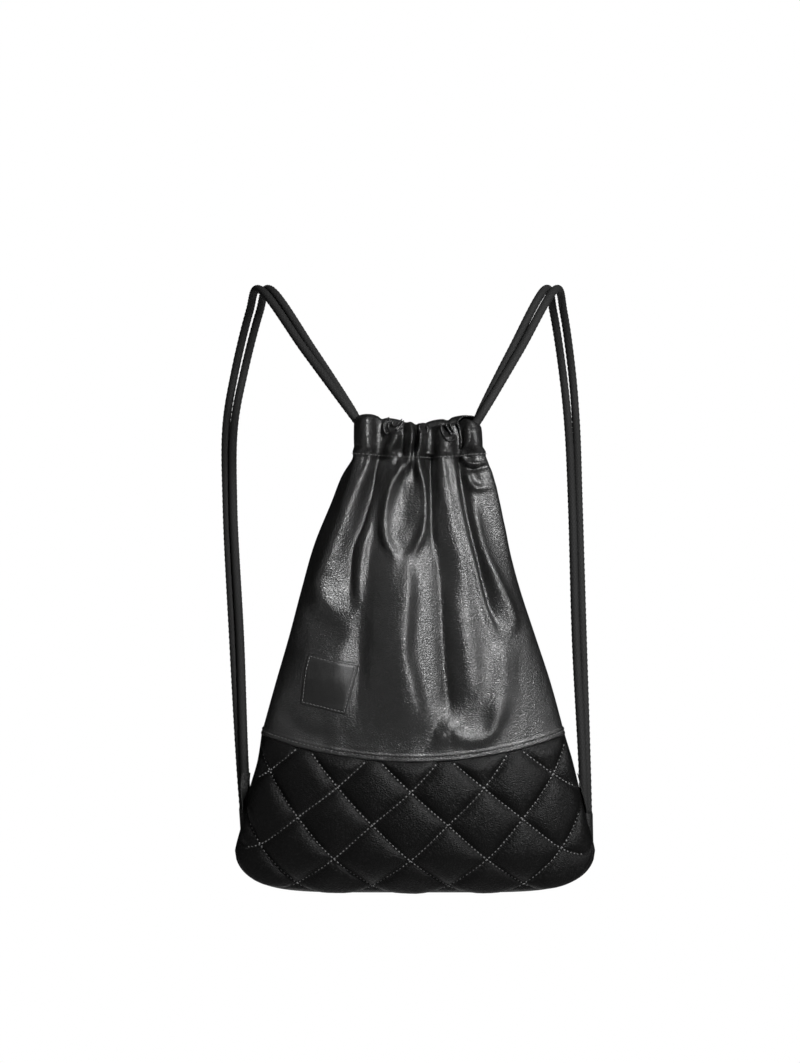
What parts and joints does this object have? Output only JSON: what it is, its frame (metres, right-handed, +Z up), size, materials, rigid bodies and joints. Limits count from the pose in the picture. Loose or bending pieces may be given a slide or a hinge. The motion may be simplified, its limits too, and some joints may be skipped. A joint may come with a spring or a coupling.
{
  "type": "quilted drawstring bag",
  "caption": "Drawstring backpack in black faux leather with a gathered mouth in a ruffled cord tunnel, a padded diamond-quilted base and doubled round shoulder cords.",
  "frame": {"origin": "midway between the two places where the cords bear on the wearer's shoulders, at the cords' underside", "axes": "+Z up, -Y the bag's front, which faces away from the wearer, +X the right-hand side seen from the front"},
  "size_m": [0.3731, 0.2751, 0.5989],
  "materials": {
    "leather": "black pebbled faux leather, semi-matte",
    "quilting": "black pebbled faux leather, quilted over padding",
    "patch": "smooth black leather patch, stitched round",
    "cord": "matte black-grey braided cord"
  },
  "bodies": {
    "root": {"front_panel": "leather", "back_panel": "leather", "front_casing": "leather", "back_casing": "leather", "left_tab": "leather", "right_tab": "leather", "quilted_base": "quilting", "patch": "patch", "left_cord": "cord", "right_cord": "cord"}
  },
  "joints": []
}
